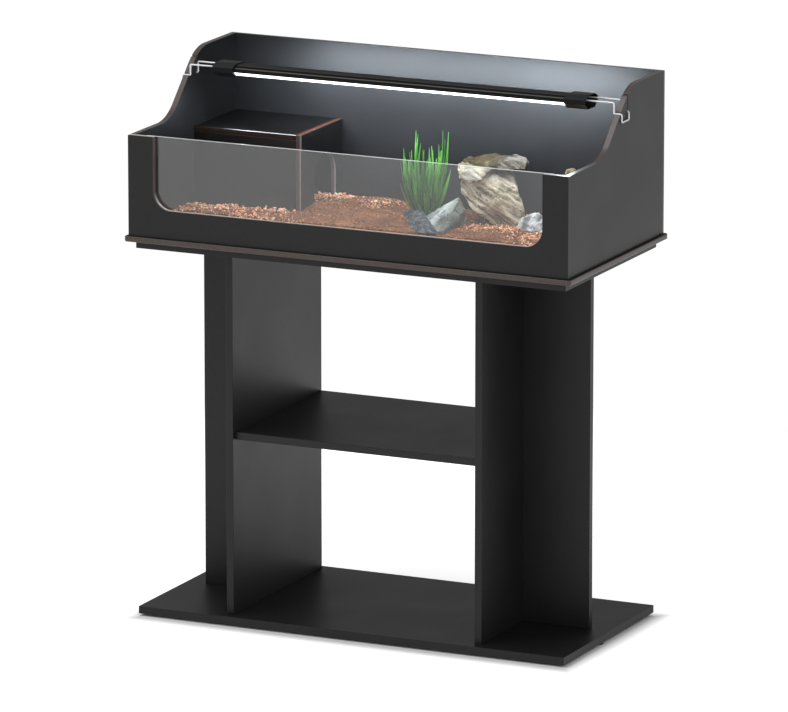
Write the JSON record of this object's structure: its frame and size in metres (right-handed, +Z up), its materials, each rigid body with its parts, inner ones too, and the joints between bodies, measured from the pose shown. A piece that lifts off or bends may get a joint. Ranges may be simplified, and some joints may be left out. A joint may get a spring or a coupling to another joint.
{
  "type": "terrarium cabinet",
  "caption": "Open-topped reptile table with a glazed front, swept sides, a hide box and a hanging LED lamp, on a separate shelf stand with T-shaped legs.",
  "frame": {"origin": "on the floor, under the middle of the stand", "axes": "+Z up, +X to the right seen from the front, -Y towards the front with the window"},
  "size_m": [1.015, 0.507, 1.166],
  "materials": {
    "black_laminate": "satin black laminate",
    "bare_edge": "sanded board, stained taupe",
    "clear_pane": "polished",
    "steel": "zinc plated",
    "beech": "bare",
    "glide_plastic": "matt",
    "black_aluminium": "black anodised",
    "cap_plastic": "satin",
    "milky_cover": "opal",
    "led_board": "white lacquer",
    "chrome_wire": "bright",
    "bark_soil": "loose, rough",
    "leaf_green": "soft",
    "tan_stone": "rough",
    "pale_stone": "rough",
    "dark_slate": "rough"
  },
  "bodies": {
    "stand": {"left_front_glide": "glide_plastic", "left_rear_glide": "glide_plastic", "left_shelf_dowel_front": "beech", "left_shelf_dowel_rear": "beech", "left_side_glide": "glide_plastic", "left_upright": "black_laminate", "left_upright_front_base_screw": "steel", "left_upright_front_top_screw": "steel", "left_upright_rear_base_screw": "steel", "left_upright_rear_top_screw": "steel", "left_wing_base_screw": "steel", "left_wing_panel": "black_laminate", "left_wing_top_screw": "steel", "right_front_glide": "glide_plastic", "right_rear_glide": "glide_plastic", "right_shelf_dowel_front": "beech", "right_shelf_dowel_rear": "beech", "right_side_glide": "glide_plastic", "right_upright": "black_laminate", "right_upright_front_base_screw": "steel", "right_upright_front_top_screw": "steel", "right_upright_rear_base_screw": "steel", "right_upright_rear_top_screw": "steel", "right_wing_base_screw": "steel", "right_wing_panel": "black_laminate", "right_wing_top_screw": "steel", "shelf": "black_laminate", "stand_base_plate": "black_laminate", "stand_top_board": "black_laminate"},
    "table": {"back_panel": "black_laminate", "corner_rock": "tan_stone", "dark_slate": "dark_slate", "front_pane": "clear_pane", "front_panel": "black_laminate", "grass_plant": "leaf_green", "hide_front_panel": "black_laminate", "hide_rear_batten": "bare_edge", "hide_side_batten": "bare_edge", "hide_side_panel": "black_laminate", "left_side_panel": "black_laminate", "main_rock": "tan_stone", "pale_slate": "pale_stone", "pane_screw_left_lower": "steel", "pane_screw_left_upper": "steel", "pane_screw_right_lower": "steel", "pane_screw_right_upper": "steel", "right_rock": "pale_stone", "right_side_panel": "black_laminate", "substrate_bed": "bark_soil", "table_base_board": "bare_edge"},
    "hide_lid": {"hide_lid": "black_laminate"},
    "lamp": {"lamp_bar": "black_aluminium", "lamp_diffuser": "milky_cover", "led_strip": "led_board", "left_end_cap": "cap_plastic", "right_end_cap": "cap_plastic"},
    "left_bracket": {"left_wire_bracket": "chrome_wire"},
    "right_bracket": {"right_wire_bracket": "chrome_wire"}
  },
  "joints": [
    {"name": "table_lift", "type": "slide", "parent": "stand", "child": "table", "axis": [0, 0, 1], "range_m": [0, 0.06]},
    {"name": "lid_lift", "type": "slide", "parent": "table", "child": "hide_lid", "axis": [0, 0, 1], "range_m": [0, 0.1]},
    {"name": "lamp_lift", "type": "slide", "parent": "table", "child": "lamp", "axis": [0, 0, 1], "range_m": [0, 0.1]},
    {"name": "left_bracket_slide", "type": "slide", "parent": "lamp", "child": "left_bracket", "axis": [-1, 0, 0], "range_m": [0, 0.04]},
    {"name": "right_bracket_slide", "type": "slide", "parent": "lamp", "child": "right_bracket", "axis": [1, 0, 0], "range_m": [0, 0.04]}
  ]
}
